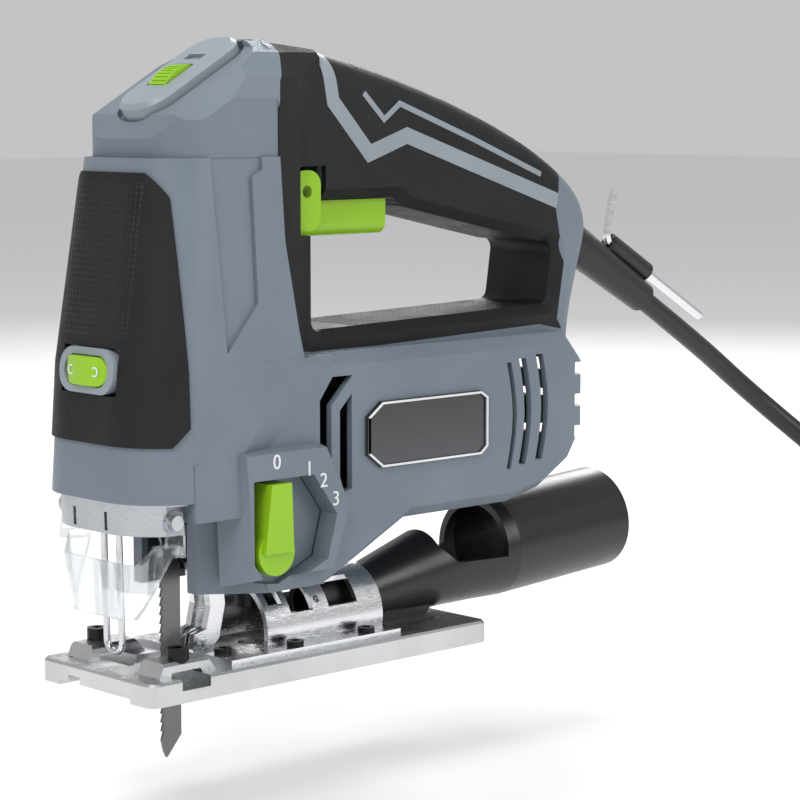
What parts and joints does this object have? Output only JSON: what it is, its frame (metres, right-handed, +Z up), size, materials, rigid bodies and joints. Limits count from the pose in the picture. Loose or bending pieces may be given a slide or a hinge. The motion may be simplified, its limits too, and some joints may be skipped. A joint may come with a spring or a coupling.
{
  "type": "corded jigsaw",
  "caption": "Corded jigsaw with D-shaped handle, trigger, speed dial, orbital lever, tilting sole plate, blade drive, clear chip guard, dust nozzle and power cord",
  "frame": {"origin": "on the underside of the sole plate, on its centre line, on the solid strip just behind the blade window", "axes": "+X to the rear of the tool, +Y to the tool's right, +Z up"},
  "size_m": [0.495, 0.1075, 0.2545],
  "materials": {
    "grey_shell": "fine satin texture",
    "grey_trim": "satin",
    "black_grip": "soft matt with fine grain",
    "green_plastic": "satin",
    "label": "glossy dark panel, blank",
    "bright_cast": "satin silver",
    "black_plastic": "satin black",
    "steel": "ground",
    "cast_plate": "cast, lightly brushed",
    "pressed_steel": "bright zinc",
    "dark_screws": "black oxide",
    "sintered": "sintered",
    "bronze": "oiled bronze",
    "cast_case": "die cast",
    "laminations": "stacked sheets",
    "copper": "enamelled copper",
    "carbon": "pressed carbon",
    "spring_steel": "bright wire",
    "dark_steel": "blackened",
    "blade_steel": "ground blade steel",
    "clear": "clear",
    "board": "circuit board",
    "lamp": "frosted",
    "black_rubber": "smooth matt"
  },
  "bodies": {
    "housing": {"brush_holders": "bronze", "brush_springs": "spring_steel", "carbon_brushes": "carbon", "cord_coil": "black_rubber", "dial_bezel": "grey_trim", "field_coils": "copper", "front_grip_pad": "black_grip", "gear_case": "cast_case", "gear_shaft": "steel", "grip_overmould_left": "black_grip", "grip_overmould_right": "black_grip", "guard_pins": "steel", "guide_pivot_pin": "steel", "housing_left": "grey_shell", "housing_right": "grey_shell", "housing_screws": "dark_screws", "label_plates": "label", "lamp_module": "lamp", "mains_plug": "black_rubber", "nose_collar": "bright_cast", "plunger_bushes": "bronze", "power_cord": "black_rubber", "rear_bearing_seat": "black_plastic", "rocker_surround": "grey_trim", "shaft_bearings": "steel", "speed_control_board": "board", "stator_core": "laminations", "strain_relief": "black_rubber", "tilt_clamp_screw": "dark_screws", "trigger_pin": "steel", "trigger_switch": "black_plastic", "wire_guard": "spring_steel"},
    "base": {"sole_plate": "cast_plate", "saddle_bracket": "pressed_steel", "saddle_screws": "dark_screws", "fence_clamps": "cast_plate", "fence_clamp_screws": "dark_screws"},
    "nozzle": {"dust_nozzle": "black_plastic"},
    "guide": {"roller_guide": "pressed_steel", "roller_pin": "steel"},
    "roller": {"support_roller": "steel"},
    "ram": {"plunger": "steel", "yoke": "sintered", "blade_clamp_body": "dark_steel", "blade_clamp_spring": "spring_steel"},
    "blade": {"saw_blade": "blade_steel"},
    "clamp_sleeve": {"blade_clamp_sleeve": "dark_steel"},
    "guard": {"chip_guard": "clear"},
    "lever": {"orbital_lever": "green_plastic", "orbital_cam_shaft": "steel"},
    "trigger_bar": {"trigger": "green_plastic"},
    "dial": {"speed_dial_wheel": "green_plastic"},
    "rocker": {"lamp_rocker": "green_plastic"},
    "gear": {"drive_gear": "steel"},
    "armature": {"armature_core": "laminations", "armature_shaft": "steel", "commutator": "copper", "cooling_fan": "black_plastic"},
    "key": {"hex_key": "pressed_steel"}
  },
  "joints": [
    {"name": "bevel_tilt", "type": "hinge", "parent": "housing", "child": "base", "pos_m": [0.025, 0, 0.013], "axis": [1, 0, 0], "range_deg": [-45, 45]},
    {"name": "nozzle_slide", "type": "slide", "parent": "base", "child": "nozzle", "axis": [1, 0, 0], "range_m": [0, 0.06]},
    {"name": "guide_swing", "type": "hinge", "parent": "housing", "child": "guide", "pos_m": [-0.01505, 0, 0.0375], "axis": [0, 1, 0], "range_deg": [-4, 0]},
    {"name": "roller_spin", "type": "hinge", "parent": "guide", "child": "roller", "pos_m": [-0.01965, 0, 0.0115], "axis": [0, 1, 0], "continuous": true},
    {"name": "ram_stroke", "type": "slide", "parent": "housing", "child": "ram", "axis": [0, 0, 1], "range_m": [-0.01, 0.01]},
    {"name": "blade_release", "type": "slide", "parent": "ram", "child": "blade", "axis": [0, 0, -1], "range_m": [0, 0.018]},
    {"name": "sleeve_turn", "type": "hinge", "parent": "ram", "child": "clamp_sleeve", "pos_m": [-0.029, 0, 0.06], "axis": [0, 0, 1], "range_deg": [0, 30], "stiffness_Nm_per_rad": 0.05, "springref_deg": -17.19},
    {"name": "guard_lift", "type": "hinge", "parent": "housing", "child": "guard", "pos_m": [-0.0486, 0, 0.058], "axis": [0, 1, 0], "range_deg": [0, 15]},
    {"name": "orbital_select", "type": "hinge", "parent": "housing", "child": "lever", "pos_m": [-0.013, -0.032, 0.045], "axis": [0, 1, 0], "range_deg": [0, 60]},
    {"name": "trigger_press", "type": "hinge", "parent": "housing", "child": "trigger_bar", "pos_m": [0.0155, 0, 0.16], "axis": [0, -1, 0], "range_deg": [0, 5], "stiffness_Nm_per_rad": 0.5, "springref_deg": -17.19},
    {"name": "speed_select", "type": "hinge", "parent": "housing", "child": "dial", "pos_m": [-0.0212, 0, 0.18918], "axis": [0, 1, 0], "range_deg": [-130, 130]},
    {"name": "lamp_switch", "type": "hinge", "parent": "housing", "child": "rocker", "pos_m": [-0.0594, 0, 0.105], "axis": [0, 0, 1], "range_deg": [-5, 5]},
    {"name": "armature_spin", "type": "hinge", "parent": "housing", "child": "armature", "pos_m": [0.062, 0, 0.08], "axis": [1, 0, 0], "continuous": true},
    {"name": "gear_spin", "type": "hinge", "parent": "housing", "child": "gear", "pos_m": [-0.0045, 0, 0.107], "axis": [1, 0, 0], "continuous": true},
    {"name": "key_slide", "type": "slide", "parent": "housing", "child": "key", "axis": [-0.866, 0, 0.5], "range_m": [0, 0.02]}
  ],
  "couplings": [
    {"joint": "gear_spin", "follows": "armature_spin", "ratio": -0.22727}
  ]
}
